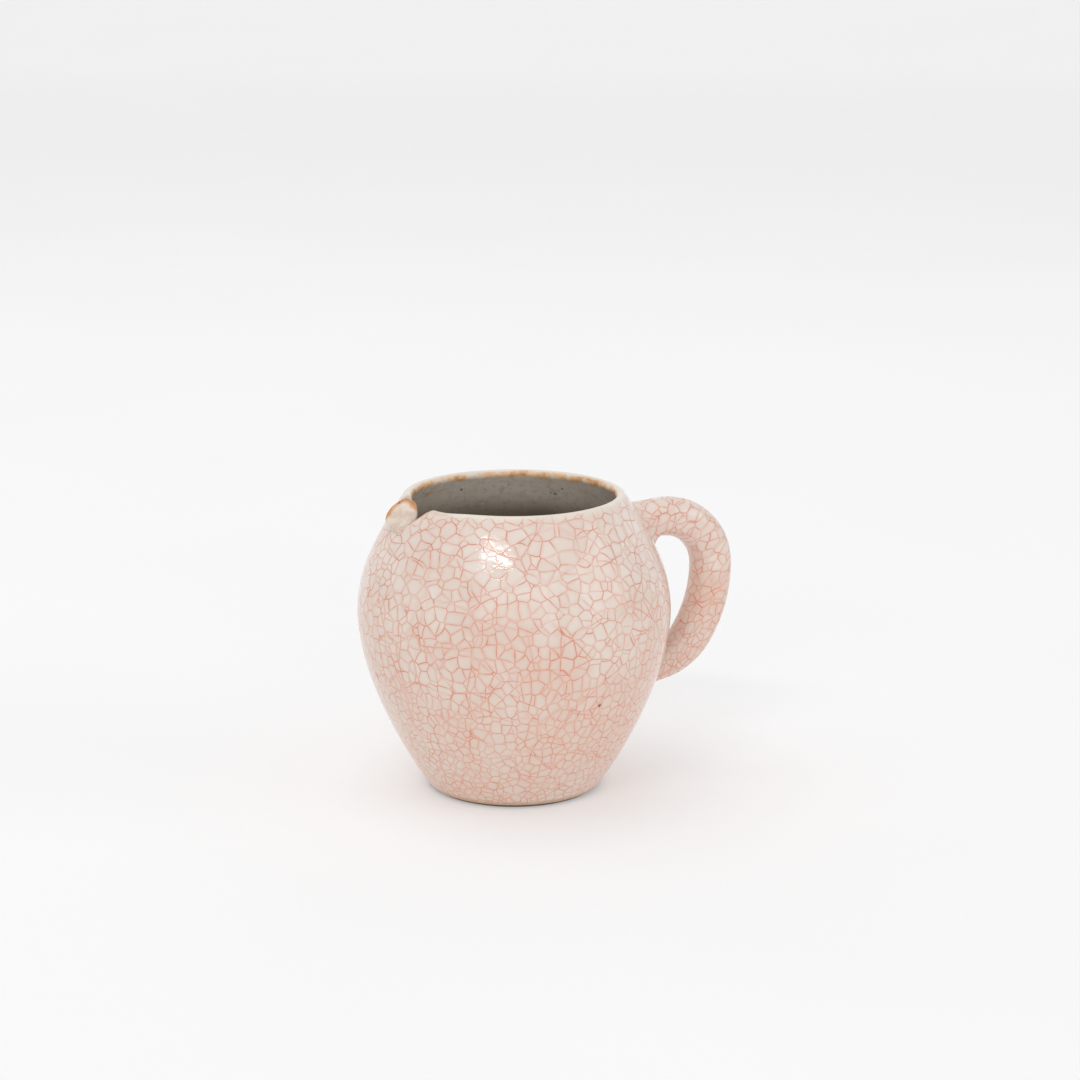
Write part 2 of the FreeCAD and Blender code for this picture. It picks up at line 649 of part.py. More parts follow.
def boolean(kind, name, base, tool):
    result = doc.addObject("Part::" + kind, name)
    result.Base = base
    result.Tool = tool
    result.Label = name
    return result


def fuse(name, pieces):
    result = doc.addObject("Part::MultiFuse", name)
    result.Shapes = pieces
    return result


def build():
    """Make every node, and return them in the order they are written."""
    clay = thrown_clay()
    outside, inside = outer_coat(), inner_coat()
    clay_form = filled_form("clay_form", size("coat"), "Sizes.coat")
    jug_form = filled_form("jug_form", 0, "0")
    rod = pipe("handle_rod", size("coat"), "Sizes.coat")
    glazed_rod = pipe("glazed_handle_rod", 0, "0")
    upper_slip = slip_form("upper_slip", [upper_place("handle_top_turn"), upper_place("upper_slip_turn")])
    lower_slip = slip_form("lower_slip", lower_places())
    lip, notch = lip_form(), notch_form()

    slab = doc.addObject("Part::Cylinder", "foot_slab")
    slab.setExpression("Height", "Sizes.foot_recess")
    slab.setExpression("Radius", "Sizes.foot_outer + %s" % OVERRUN)

    foot_ring = boolean("Common", "foot_ring", clay, slab)
    clay_body = boolean("Cut", "clay_body", clay, fuse("clay_cuts", [slab, notch]))
    outer_cuts = fuse("outer_cuts", [notch, rod, upper_slip, lower_slip])
    outer_glaze = boolean("Cut", "outer_glaze", outside, outer_cuts)
    inner_glaze = boolean("Cut", "inner_glaze", inside, notch)
    handle = boolean("Cut", "handle", rod, clay_form)
    glaze_cuts = fuse("handle_glaze_cuts", [rod, jug_form, upper_slip, lower_slip])
    handle_glaze = boolean("Cut", "handle_glaze", glazed_rod, glaze_cuts)
    slip_cuts = fuse("slip_cuts", [rod, clay_form])
    upper_joint = boolean("Cut", "upper_handle_joint", upper_slip, slip_cuts)
    lower_joint = boolean("Cut", "lower_handle_joint", lower_slip, slip_cuts)
    lip_cuts = fuse("lip_cuts", [clay_body, outer_glaze, inner_glaze])
    pouring_lip = boolean("Cut", "pouring_lip", lip, lip_cuts)
    doc.recompute()
    coats = [outer_glaze, inner_glaze, handle_glaze]
    return [clay_body, foot_ring, handle, upper_joint, lower_joint, pouring_lip] + coats


def check(nodes):
    for item in doc.Objects:
        if "Invalid" in item.State or "Error" in item.State:
            raise RuntimeError("%s did not recompute: %s" % (item.Name, item.State))
    for node in nodes:
        if node.Shape.isNull() or not node.Shape.isValid() or node.Shape.Volume <= 0:
            raise RuntimeError("%s has no valid solid" % node.Label)


def write(nodes):
    os.makedirs("parts", exist_ok=True)
    for node in nodes:
        node.Shape.exportStep("parts/%s.step" % node.Label)
        print("%s: %d solid, %.2f cm3" % (node.Label, len(node.Shape.Solids), node.Shape.Volume / 1000))


nodes = build()
check(nodes)
write(nodes)
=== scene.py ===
import math

import bpy
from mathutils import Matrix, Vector, noise


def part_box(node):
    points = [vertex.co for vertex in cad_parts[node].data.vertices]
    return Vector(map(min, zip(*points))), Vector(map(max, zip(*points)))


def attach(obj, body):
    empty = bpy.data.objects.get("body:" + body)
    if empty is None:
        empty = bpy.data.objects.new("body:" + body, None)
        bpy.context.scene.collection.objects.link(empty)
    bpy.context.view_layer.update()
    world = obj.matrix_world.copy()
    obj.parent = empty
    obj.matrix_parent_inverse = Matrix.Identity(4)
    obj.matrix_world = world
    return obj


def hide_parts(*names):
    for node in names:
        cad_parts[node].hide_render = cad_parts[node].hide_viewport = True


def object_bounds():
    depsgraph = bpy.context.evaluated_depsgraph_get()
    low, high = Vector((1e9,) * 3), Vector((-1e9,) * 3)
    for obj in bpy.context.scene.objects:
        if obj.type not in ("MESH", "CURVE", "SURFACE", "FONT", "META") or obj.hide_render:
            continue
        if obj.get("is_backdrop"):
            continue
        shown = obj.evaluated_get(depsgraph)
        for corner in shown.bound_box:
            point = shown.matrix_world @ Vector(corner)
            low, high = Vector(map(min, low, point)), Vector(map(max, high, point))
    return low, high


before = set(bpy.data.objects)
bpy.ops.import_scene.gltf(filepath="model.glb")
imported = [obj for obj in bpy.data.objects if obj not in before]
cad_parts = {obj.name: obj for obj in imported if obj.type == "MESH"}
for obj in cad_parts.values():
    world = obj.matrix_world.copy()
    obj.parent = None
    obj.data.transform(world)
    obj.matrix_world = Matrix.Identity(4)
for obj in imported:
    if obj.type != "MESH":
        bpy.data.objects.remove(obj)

packed_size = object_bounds()

# A small porcelain cream jug with a crackled pink glaze outside and a grey glaze inside.
# Shapes are worked out in millimetres of the jug and turned into metres as each mesh is made.
# The handle points to +X, the pouring lip to -X, and the jug stands on z = 0.
# An azimuth is in degrees, anticlockwise from +X, seen from above.

# The rim's height in millimetres sets the scale, and MM is metres to a millimetre.
CREST = 85.0
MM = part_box("outer_glaze")[1][2] / CREST
BELLY_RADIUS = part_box("outer_glaze")[1][1] / MM

# Degrees that the camera is turned from looking along +Y. The lamps and backdrop follow it.
VIEW_TURN = -23.0


# ---------------------------------------------------------------- the turned wall

# The coats of glaze meet COAT_JOINT degrees round the rim's rounding, which ends at RIM_END.
# The clay reaches COAT_OVERLAP into each coat. A turned outline that closes stops NEAR_AXIS.
WALL = 2.8
ROUNDING = WALL / 2
FLOOR_TOP = 6.55
FLOOR_FILLET = 8.65
GLAZE_LINE = 1.0
COAT = 0.45
COAT_OVERLAP = 0.12
COAT_JOINT = 110.0
RIM_END = 172.0
NEAR_AXIS = 0.02
FOOT_OUTER = 23.1
FOOT_INNER = 18.6
FOOT_RECESS = 1.8
FOOT_BEVEL = 0.5


def turn(angle):
    """The unit vector at an angle in degrees."""
    return (math.cos(math.radians(angle)), math.sin(math.radians(angle)))


def on_arc(centre, radius, angle):
    """The point of an arc at an angle in degrees."""
    c, s = turn(angle)
    return (centre[0] + radius * c, centre[1] + radius * s)


def touching(centre, radius, new_radius, angle):
    """The centre of an arc of new_radius that touches the given arc at an angle."""
    return on_arc(centre, radius - new_radius, angle)


BELLY_CURVE, BELLY_HEIGHT = 38.1, 51.2
SHOULDER_CURVE, SHOULDER_TURN = 124.8, 25.0
LOWER_CURVE, LOWER_TURN = 74.3, -7.3
FLANK_CURVE, FLANK_TURN = 132.7, -21.0
BELLY = (BELLY_RADIUS - BELLY_CURVE, BELLY_HEIGHT)
SHOULDER = touching(BELLY, BELLY_CURVE, SHOULDER_CURVE, SHOULDER_TURN)
LOWER = touching(BELLY, BELLY_CURVE, LOWER_CURVE, LOWER_TURN)
FLANK = touching(LOWER, LOWER_CURVE, FLANK_CURVE, FLANK_TURN)


def smooth(value, start, end):
    """0 at start, 1 at end, easing in and out between them."""
    t = min(max((value - start) / (end - start), 0.0), 1.0)
    return t * t * (3 - 2 * t)


def outer_radius(height):
    """Radius of the jug's outside at a height."""
    for centre, radius, top in (
        (FLANK, FLANK_CURVE, on_arc(LOWER, LOWER_CURVE, FLANK_TURN)[1]),
        (LOWER, LOWER_CURVE, on_arc(BELLY, BELLY_CURVE, LOWER_TURN)[1]),
        (BELLY, BELLY_CURVE, on_arc(BELLY, BELLY_CURVE, SHOULDER_TURN)[1]),
        (SHOULDER, SHOULDER_CURVE, math.inf),
    ):
        if height <= top:
            return centre[0] + math.sqrt(radius**2 - (height - centre[1]) ** 2)


def arc_rows(centre, radius, start, end, steps):
    """Points along an arc from start, up to but without end."""
    turns = [start + (end - start) * i / steps for i in range(steps)]
    return [on_arc(centre, radius, t) for t in turns]


def crest_height(azimuth):
    """Height of the rim: level, but torn down where the lip is pulled out."""
    low, level = 79.7, CREST - 0.2
    far_side = smooth(azimuth, 163.6, 167.2)
    near_side = 1 - smooth(azimuth, 186.5, 202.0)
    dip = 0.55 * math.exp(-(((azimuth - 206.0) / 13.0) ** 2))
    return level - dip - (level - dip - low) * far_side * near_side


def crest_turn(azimuth):
    """The shoulder's angle where the rim's rounding starts."""
    rise = crest_height(azimuth) - ROUNDING - SHOULDER[1]
    return math.degrees(math.asin(rise / (SHOULDER_CURVE - ROUNDING)))


def outside(azimuth, depth):
    """Rows of the outside from the glaze line to the rim, at a depth below the surface."""
    rim = crest_turn(azimuth)
    foot = math.degrees(math.asin((GLAZE_LINE - FLANK[1]) / FLANK_CURVE))
    rows = arc_rows(FLANK, FLANK_CURVE - depth, foot, FLANK_TURN, 16)
    rows += arc_rows(LOWER, LOWER_CURVE - depth, FLANK_TURN, LOWER_TURN, 10)
    rows += arc_rows(BELLY, BELLY_CURVE - depth, LOWER_TURN, SHOULDER_TURN, 20)
    rows += arc_rows(SHOULDER, SHOULDER_CURVE - depth, SHOULDER_TURN, rim, 14)
    return rows


def rim(azimuth, depth, start, end, steps):
    """Rows over the rim's rounding, start and end in degrees round it, with both ends."""
    rim_turn = crest_turn(azimuth)
    centre = on_arc(SHOULDER, SHOULDER_CURVE - ROUNDING, rim_turn)
    rows = arc_rows(centre, ROUNDING - depth, rim_turn + start, rim_turn + end, steps)
    return rows + [on_arc(centre, ROUNDING - depth, rim_turn + end)]


def inside(azimuth, depth):
    """Rows of the inside from the rim down to the middle of the floor."""
    inset = WALL - depth
    rim_turn = crest_turn(azimuth)
    fillet_height = FLOOR_TOP + FLOOR_FILLET
    reach = FLANK_CURVE - WALL - FLOOR_FILLET
    drop = fillet_height - FLANK[1]
    fillet = (FLANK[0] + math.sqrt(reach**2 - drop**2), fillet_height)
    meet = math.degrees(math.atan2(drop, fillet[0] - FLANK[0]))
    rows = arc_rows(SHOULDER, SHOULDER_CURVE - inset, rim_turn, SHOULDER_TURN, 12)
    rows += arc_rows(BELLY, BELLY_CURVE - inset, SHOULDER_TURN, LOWER_TURN, 16)
    rows += arc_rows(LOWER, LOWER_CURVE - inset, LOWER_TURN, FLANK_TURN, 8)
    rows += arc_rows(FLANK, FLANK_CURVE - inset, FLANK_TURN, meet, 8)
    rows += arc_rows(fillet, FLOOR_FILLET + depth, meet, -90.0, 10)
    rows += [(fillet[0] * k / 8, FLOOR_TOP - depth) for k in range(8, 0, -1)]
    return rows


def thrown(radius, height, azimuth):
    """A point of the wall with the slight unevenness of a jug thrown by hand."""
    c, s = turn(azimuth)
    place = Vector((c * 1.1, s * 1.1, height / 26.0))
    sag = 0.5 + 0.5 * noise.noise(place)
    rings = 0.5 + 0.5 * math.sin(height * 0.9 + 2.0 * noise.noise(place * 0.7))
    steady = smooth(height, 1.0, 12.0)
    radius *= 1 - (0.0035 * sag + 0.0006 * rings) * steady
    height -= 0.10 * smooth(height, 60.0, 85.0) * (1 + noise.noise(place * 1.7))
    return Vector((radius * c, radius * s, height))


def wall_spot(azimuth, height, below):
    """The point some way below the outside at an azimuth and height."""
    slope = math.atan2(outer_radius(height - 0.1) - outer_radius(height + 0.1), 0.2)
    radius = outer_radius(height) - below * math.cos(slope)
    return thrown(radius, height - below * math.sin(slope), azimuth)


def wall_azimuths():
    """Azimuths round the wall, closer together beside the pouring lip."""
    found = [150.0]
    while found[-1] < 510.0:
        turned = found[-1]
        step = 0.4 if 160.0 <= turned < 204.0 else 1.5
        found.append(turned + step)
    return found[:-1]


def turned_rings(profile):
    """Rings round the jug through the rows that profile gives at each azimuth."""
    columns = []
    for azimuth in wall_azimuths():
        azimuth = azimuth % 360.0
        columns.append([thrown(r, z, azimuth) for r, z in profile(azimuth)])
    return [list(ring) for ring in zip(*columns)]


# ---------------------------------------------------------------- making meshes


def make_piece(name, rings, material, ends="capped", marks=None):
    """A closed mesh through rings of points; ends is "capped" or "joined"."""
    count = len(rings[0])
    points = [p * MM for ring in rings for p in ring]
    faces = []
    last = len(rings) if ends == "joined" else len(rings) - 1
    for i in range(last):
        a, b = i * count, (i + 1) % len(rings) * count
        for j in range(count):
            k = (j + 1) % count
            faces.append((a + j, a + k, b + k, b + j))
    if ends == "capped":
        for start, flip in ((0, True), ((len(rings) - 1) * count, False)):
            ring = points[start : start + count]
            middle = len(points)
            points.append(sum(ring, Vector()) / count)
            for j in range(count):
                k = (j + 1) % count
                edge = (start + k, start + j) if flip else (start + j, start + k)
                faces.append((*edge, middle))
    mesh = bpy.data.meshes.new(name)
    mesh.from_pydata(points, [], faces)
    for key, values in (marks or {}).items():
        layer = mesh.attributes.new(key, "FLOAT", "POINT")
        layer.data.foreach_set("value", values + [values[-1]] * (len(points) - len(values)))
    mesh.materials.append(material)
    mesh.validate()
    obj = bpy.data.objects.new(name, mesh)
    bpy.context.scene.collection.objects.link(obj)
    bpy.context.view_layer.objects.active = obj
    obj.select_set(True)
    bpy.ops.object.mode_set(mode="EDIT")
    bpy.ops.mesh.select_all(action="SELECT")
    bpy.ops.mesh.normals_make_consistent(inside=False)
    bpy.ops.object.mode_set(mode="OBJECT")
    obj.select_set(False)
    mesh.shade_smooth()
    mesh.set_sharp_from_angle(angle=math.radians(50.0))
    return obj


# ---------------------------------------------------------------- materials


def srgb(red, green, blue):
    """A colour given as 0 to 255 per channel, as the linear values that shaders take."""
    linear = []
    for level in (red, green, blue):
        share = level / 255
        low = share <= 0.04045
        linear.append(share / 12.92 if low else ((share + 0.055) / 1.055) ** 2.4)
    return (*linear, 1.0)


class Recipe:
    """A material's node tree, built one step at a time. Sockets are passed as inputs."""

    def __init__(self, name):
        """An empty material."""
        self.material = bpy.data.materials.new(name)
        self.material.use_nodes = True
        self.tree = self.material.node_tree
        self.tree.nodes.clear()

    def feed(self, socket, value):
        """Links the input to another socket, or gives it a fixed value."""
        if isinstance(value, bpy.types.NodeSocket):
            self.tree.links.new(value, socket)
        else:
            socket.default_value = value

    def node(self, kind, inputs, **settings):
        """A new node with its settings made and its inputs fed."""
        made = self.tree.nodes.new(kind)
        for key, value in settings.items():
            setattr(made, key, value)
        for key, value in inputs.items():
            self.feed(made.inputs[key], value)
        return made

    def math(self, operation, *values):
        """The result of a sum on numbers."""
        inputs = dict(enumerate(values))
        return self.node("ShaderNodeMath", inputs, operation=operation).outputs[0]

    def vector(self, operation, *values):
        """The result of a sum on vectors: a number from a dot product, or else a vector."""
        inputs = dict(enumerate(values))
        made = self.node("ShaderNodeVectorMath", inputs, operation=operation)
        return made.outputs["Value" if operation == "DOT_PRODUCT" else "Vector"]

    def scaled(self, vector, factor):
        """A vector made longer by a factor."""
        made = self.node("ShaderNodeVectorMath", {0: vector, 3: factor}, operation="SCALE")
        return made.outputs["Vector"]

    def fade(self, value, start, end, low=0.0, high=1.0):
        """low at start and high at end, easing between them."""
        inputs = {"Value": value, 1: start, 2: end, 3: low, 4: high}
        made = self.node("ShaderNodeMapRange", inputs, interpolation_type="SMOOTHSTEP")
        return made.outputs[0]

    def blend(self, factor, first, second):
        """The first colour where the factor is 0, the second where it is 1."""
        inputs = {0: factor, 6: first, 7: second}
        made = self.node("ShaderNodeMix", inputs, data_type="RGBA")
        return made.outputs[2]

    def place(self):
        """The shading point in millimetres of the jug."""
        found = self.node("ShaderNodeTexCoord", {}).outputs["Object"]
        return self.scaled(found, 1 / MM)

    def mottle(self, place, size, detail=2.0, rough=0.5, shift=0.0):
        """Cloudy noise from 0 to 1 with lumps of a size in millimetres."""
        moved = self.vector("ADD", place, (shift, shift * 0.7, -shift))
        inputs = {"Vector": moved, "Scale": 1 / size, "Detail": detail, "Roughness": rough}
        return self.node("ShaderNodeTexNoise", inputs)

    def fleck(self, place, spot, size):
        """1 within a round fleck of a size in millimetres at a spot, 0 outside it."""
        away = self.node("ShaderNodeVectorMath", {0: place, 1: spot}, operation="DISTANCE")
        ragged = self.mottle(place, size * 0.8, 2.0, 0.6).outputs["Fac"]
        reach = self.math("ADD", away.outputs["Value"], self.math("MULTIPLY", ragged, size))
        return self.fade(reach, size * 0.6, size * 1.2, 1.0, 0.0)

    def mark(self, name):
        """A number stored at the mesh's points by make_piece."""
        return self.node("ShaderNodeAttribute", {}, attribute_name=name).outputs["Fac"]

    def finish(self, colour, roughness, bump_height, bump_depth, **more):
        """The one shader: colour, roughness and a bump whose height is in millimetres."""
        inputs = {"Height": bump_height, "Distance": bump_depth * MM, "Strength": 1.0}
        bump = self.node("ShaderNodeBump", inputs)
        inputs = {"Base Color": colour, "Roughness": roughness, "Normal": bump.outputs[0]}
        inputs.update(more)
        shader = self.node("ShaderNodeBsdfPrincipled", inputs)
        output = self.node("ShaderNodeOutputMaterial", {})
        self.tree.links.new(shader.outputs[0], output.inputs[0])
        return self.material


def crack_field(recipe, place, cell, disorder):
    """Distance to the nearest crack measured along the surface, and a colour per cell.

    The two nearest cell points give the plane of the crack. Dividing by the sine of its
    angle to the surface keeps every line as thin as the next."""
    inputs = {"Vector": place, "Scale": 1 / cell, "Randomness": disorder}
    near = recipe.node("ShaderNodeTexVoronoi", inputs, feature="F1")
    next_near = recipe.node("ShaderNodeTexVoronoi", inputs, feature="F2")
    first, second = near.outputs["Position"], next_near.outputs["Position"]
    across = recipe.vector("NORMALIZE", recipe.vector("SUBTRACT", second, first))
    middle = recipe.scaled(recipe.vector("ADD", first, second), 0.5)
    gap = recipe.vector("DOT_PRODUCT", recipe.vector("SUBTRACT", place, middle), across)
    normal = recipe.node("ShaderNodeNewGeometry", {}).outputs["Normal"]
    lean = recipe.vector("DOT_PRODUCT", across, normal)
    sine = recipe.math("SQRT", recipe.math("MAXIMUM", recipe.math(
        "SUBTRACT", 1.0, recipe.math("MULTIPLY", lean, lean)), 0.04))
    gap = recipe.math("DIVIDE", recipe.math("ABSOLUTE", gap), sine)
    return gap, near.outputs["Color"]


def crackle_colour(recipe, place, coarse, fine, line_gain):
    """Colour of the crackled glaze with its halo, the cracks, the gap to the nearest one."""
    parts = recipe.node("ShaderNodeSeparateXYZ", {0: place})
    x, y, z = parts.outputs[0], parts.outputs[1], parts.outputs[2]
    spread = recipe.fade(z, 0.0, 85.0, 1.40, 0.84)
    stretched = recipe.node("ShaderNodeCombineXYZ", {
        0: recipe.math("MULTIPLY", x, spread),
        1: recipe.math("MULTIPLY", y, spread),
        2: recipe.math("MULTIPLY", z, recipe.fade(z, 0.0, 85.0, 1.42, 1.08)),
    }).outputs[0]
    wander = recipe.mottle(place, 6.0, 1.0, 0.4).outputs["Color"]
    warped = recipe.vector("ADD", stretched, recipe.scaled(wander, 2.0))
    main_gap = crack_field(recipe, warped, coarse, 1.0)[0]
    fine_gap, fine_cell = crack_field(recipe, warped, fine, 0.74)
    gap = recipe.math("MINIMUM", main_gap, fine_gap)

    strength = recipe.mottle(place, 4.0, 2.0, 0.6, 31.0).outputs["Fac"]
    strength = recipe.fade(strength, 0.32, 0.66, 0.30, 1.0)
    width = recipe.fade(recipe.mottle(place, 11.0, 2.0, 0.5, 77.0).outputs["Fac"],
                        0.35, 0.7, 0.15, 0.25)
    present = recipe.fade(recipe.mottle(place, 9.0, 2.0, 0.5, 53.0).outputs["Fac"],
                          0.46, 0.58, 0.0, 0.8)
    main_line = recipe.fade(main_gap, 0.03, width, 1.0, 0.0)
    main_line = recipe.math("MULTIPLY", main_line, present)
    fine_line = recipe.fade(fine_gap, 0.03, width, 1.0, 0.0)
    fine_line = recipe.math("MULTIPLY", fine_line, strength)
    line = recipe.math("MAXIMUM", main_line, fine_line)
    line = recipe.math("MULTIPLY", line, line_gain)
    halo = recipe.fade(gap, 0.0, 1.2, 1.0, 0.0)

    patch = recipe.mottle(place, 22.0, 3.0, 0.6, 11.0).outputs["Fac"]
    patch = recipe.math("MULTIPLY", recipe.fade(patch, 0.36, 0.64), recipe.fade(
        z, 35.0, 85.0, 1.0, 0.35))
    creamy = recipe.blend(recipe.fade(z, 15.0, 80.0), srgb(224, 210, 197), srgb(237, 226, 217))
    pale = recipe.blend(patch, creamy, srgb(225, 203, 189))
    cell_tone = recipe.node("ShaderNodeSeparateColor", {0: fine_cell}).outputs[0]
    pale = recipe.blend(recipe.math("MULTIPLY", cell_tone, 0.35), pale, srgb(222, 200, 188))
    stain = recipe.math("MULTIPLY", halo, recipe.fade(patch, 0.0, 1.0, 0.28, 0.50))
    stain = recipe.math("MULTIPLY", stain, recipe.fade(z, 45.0, 85.0, 1.0, 0.75))
    stain = recipe.math("MULTIPLY", stain, line_gain)
    colour = recipe.blend(stain, pale, srgb(229, 177, 156))
    return colour, line, gap


def crackle_glaze(name, coarse, fine):
    """The outside: cream to pink glaze with fine salmon cracks, plain near the rim."""
    recipe = Recipe(name)
    place = recipe.place()
    past_crest = recipe.mark("past_crest")
    rag = recipe.mottle(place, 4.0, 3.0, 0.6, 5.0).outputs["Fac"]
    near_rim = recipe.math("ADD", past_crest, recipe.math("MULTIPLY", rag, 1.6))
    line_gain = recipe.fade(near_rim, -1.6, 0.4, 1.0, 0.0)
    colour, line, gap = crackle_colour(recipe, place, coarse, fine, line_gain)
    rim_colour = srgb(236, 226, 212)
    colour = recipe.blend(recipe.fade(near_rim, -1.8, 0.3, 0.0, 0.85), colour, rim_colour)
    colour = recipe.blend(line, colour, srgb(216, 137, 112))
    up = recipe.math("ADD", recipe.node("ShaderNodeSeparateXYZ", {0: place}).outputs[2], rag)
    worn = recipe.fade(up, 1.3, 3.4, 0.85, 0.0)
    colour = recipe.blend(worn, colour, srgb(184, 150, 118))
    burnt = recipe.fade(past_crest, -1.9, -0.9)
    burnt = recipe.math("MULTIPLY", burnt, recipe.fade(recipe.mark("torn"), 0.4, 1.4))
    burnt = recipe.math("MULTIPLY", burnt, recipe.fade(rag, 0.34, 0.56, 0.5, 1.0))
    band, iron = iron_band(recipe, place, past_crest)
    colour = recipe.blend(burnt, colour, srgb(204, 138, 84))
    colour = recipe.blend(band, colour, iron)

    fleck = recipe.fleck(place, wall_spot(282.25, 32.5, 0.0), 1.1)
    colour = recipe.blend(fleck, colour, srgb(132, 52, 30))

    peel = recipe.mottle(place, 3.2, 2.0, 0.5, 3.0).outputs["Fac"]
    groove = recipe.fade(gap, 0.0, 0.30, 1.0, 0.0)
    height = recipe.math("SUBTRACT", peel, recipe.math("MULTIPLY", groove, 0.08))
    rough = recipe.fade(recipe.mottle(place, 9.0, 3.0, 0.6, 19.0).outputs["Fac"],
                        0.3, 0.7, 0.06, 0.13)
    rough = recipe.math("ADD", rough, recipe.math("MULTIPLY", line, 0.12))
    return recipe.finish(colour, rough, height, 0.10, **{"IOR": 1.5})


def iron_band(recipe, place, past):
    """Where iron broke through the glaze just inside the rim, and its colour."""
    drift = recipe.mottle(place, 7.0, 4.0, 0.65, 41.0).outputs["Fac"]
    sway = recipe.math("MULTIPLY", recipe.math("SUBTRACT", drift, 0.5), 2.2)
    level = recipe.math("ADD", past, sway)
    gaps = recipe.mottle(place, 4.2, 3.0, 0.6, 63.0).outputs["Fac"]
    band = recipe.math("MULTIPLY", recipe.fade(level, 0.6, 1.4), recipe.fade(
        level, 2.4, 3.4, 1.0, 0.0))
    band = recipe.math("MULTIPLY", band, recipe.fade(gaps, 0.36, 0.54, 0.18, 1.0))
    breaks = recipe.mottle(place, 5.0, 3.0, 0.6, 93.0).outputs["Fac"]
    second = recipe.math("MULTIPLY", recipe.fade(level, 3.8, 4.6), recipe.fade(
        level, 4.8, 6.0, 1.0, 0.0))
    second = recipe.math("MULTIPLY", second, recipe.fade(breaks, 0.46, 0.62, 0.0, 0.7))
    aside = recipe.node("ShaderNodeSeparateXYZ", {0: place}).outputs[0]
    second = recipe.math("MULTIPLY", second, recipe.fade(aside, -12.0, 6.0, 1.0, 0.0))
    iron = recipe.blend(recipe.fade(gaps, 0.5, 0.7), srgb(240, 196, 150), srgb(206, 146, 96))
    return recipe.math("MAXIMUM", band, second), iron


def liner_glaze():
    """The inside: smooth grey glaze with dark specks and an iron band below the rim, painted
    paler towards the rim as painted light.
    """
    recipe = Recipe("grey_liner_glaze")
    place = recipe.place()
    past = recipe.mark("past_crest")
    height = recipe.node("ShaderNodeSeparateXYZ", {0: place}).outputs[2]
    cloud = recipe.mottle(place, 14.0, 4.0, 0.6, 2.0).outputs["Fac"]
    fine = recipe.mottle(place, 1.6, 3.0, 0.6, 8.0).outputs["Fac"]
    cloudy = recipe.fade(cloud, 0.3, 0.7)
    lower_wall_grey = recipe.blend(cloudy, srgb(158, 145, 129), srgb(141, 128, 112))
    # Painted light: from 69 mm up to 78 mm the grey is painted much paler, standing in for light
    # falling in through the mouth onto the upper inside wall.
    painted_light_near_rim = recipe.blend(cloudy, srgb(250, 242, 230), srgb(240, 229, 213))
    grey = recipe.blend(recipe.fade(height, 69.0, 78.0), lower_wall_grey, painted_light_near_rim)
    grey = recipe.blend(recipe.fade(fine, 0.45, 0.75, 0.0, 0.3), grey, srgb(140, 130, 118))
    cream = recipe.blend(cloudy, srgb(246, 238, 226), srgb(242, 230, 212))
    colour = recipe.blend(recipe.fade(past, 1.4, 3.4), cream, grey)
    band, iron = iron_band(recipe, place, past)
    colour = recipe.blend(band, colour, iron)

    speck = recipe.node("ShaderNodeTexVoronoi", {"Vector": place, "Scale": 1 / 5.5})
    pick = recipe.node("ShaderNodeSeparateColor", {0: speck.outputs["Color"]}).outputs[0]
    limit = recipe.fade(pick, 0.55, 1.0, 0.0, 0.07)
    specks = recipe.fade(recipe.math("SUBTRACT", speck.outputs["Distance"], limit),
                         -0.03, 0.02, 1.0, 0.0)
    colour = recipe.blend(recipe.math("MULTIPLY", specks, 0.8), colour, srgb(84, 72, 62))
    for azimuth, up, size in ((45.75, 79.0, 1.3), (40.5, 81.0, 0.8), (97.25, 81.0, 0.9)):
        fleck = recipe.fleck(place, wall_spot(azimuth, up, WALL), size)
        colour = recipe.blend(recipe.math("MULTIPLY", fleck, 0.85), colour, srgb(88, 70, 56))
    peel = recipe.mottle(place, 2.6, 2.0, 0.5, 4.0).outputs["Fac"]
    rough = recipe.fade(cloud, 0.3, 0.7, 0.22, 0.36)
    return recipe.finish(colour, rough, peel, 0.12)


def lip_glaze():
    """The lip: plain cream glaze, burnt to an iron brown along its far edge."""
    recipe = Recipe("lip_glaze")
    place = recipe.place()
    far = recipe.mark("far_edge")
    cloud = recipe.mottle(place, 3.4, 4.0, 0.6, 15.0).outputs["Fac"]
    cream = recipe.blend(recipe.fade(cloud, 0.35, 0.65), srgb(232, 216, 202), srgb(216, 194, 176))
    ragged = recipe.math("ADD", far, recipe.math("MULTIPLY", cloud, 2.4))
    burnt = recipe.fade(ragged, 2.4, 3.8, 1.0, 0.0)
    rust = recipe.blend(recipe.fade(cloud, 0.42, 0.62), srgb(222, 160, 104), srgb(186, 120, 68))
    colour = recipe.blend(burnt, cream, rust)
    spot = recipe.node("ShaderNodeTexVoronoi", {"Vector": place, "Scale": 1 / 4.6})
    spots = recipe.fade(spot.outputs["Distance"], 0.05, 0.13, 0.8, 0.0)
    colour = recipe.blend(recipe.math("MULTIPLY", spots, burnt), colour, srgb(104, 60, 34))
    peel = recipe.mottle(place, 2.0, 2.0, 0.5, 6.0).outputs["Fac"]
    return recipe.finish(colour, recipe.fade(cloud, 0.3, 0.7, 0.16, 0.28), peel, 0.12)


def bare_clay(name, shade):
    """Unglazed porcelain: warm grey with fine grain, and browner where it wears."""
    recipe = Recipe(name)
    place = recipe.place()
    grain = recipe.mottle(place, 0.5, 3.0, 0.7, 9.0).outputs["Fac"]
    cloud = recipe.mottle(place, 8.0, 3.0, 0.6, 27.0).outputs["Fac"]
    pale, dark = srgb(*shade), srgb(*[level * 0.78 for level in shade])
    colour = recipe.blend(recipe.fade(cloud, 0.3, 0.7), pale, dark)
    colour = recipe.blend(recipe.fade(grain, 0.5, 0.8, 0.0, 0.5), colour, srgb(96, 76, 60))
    rough = recipe.fade(grain, 0.3, 0.7, 0.62, 0.85)
    return recipe.finish(colour, rough, grain, 0.15)


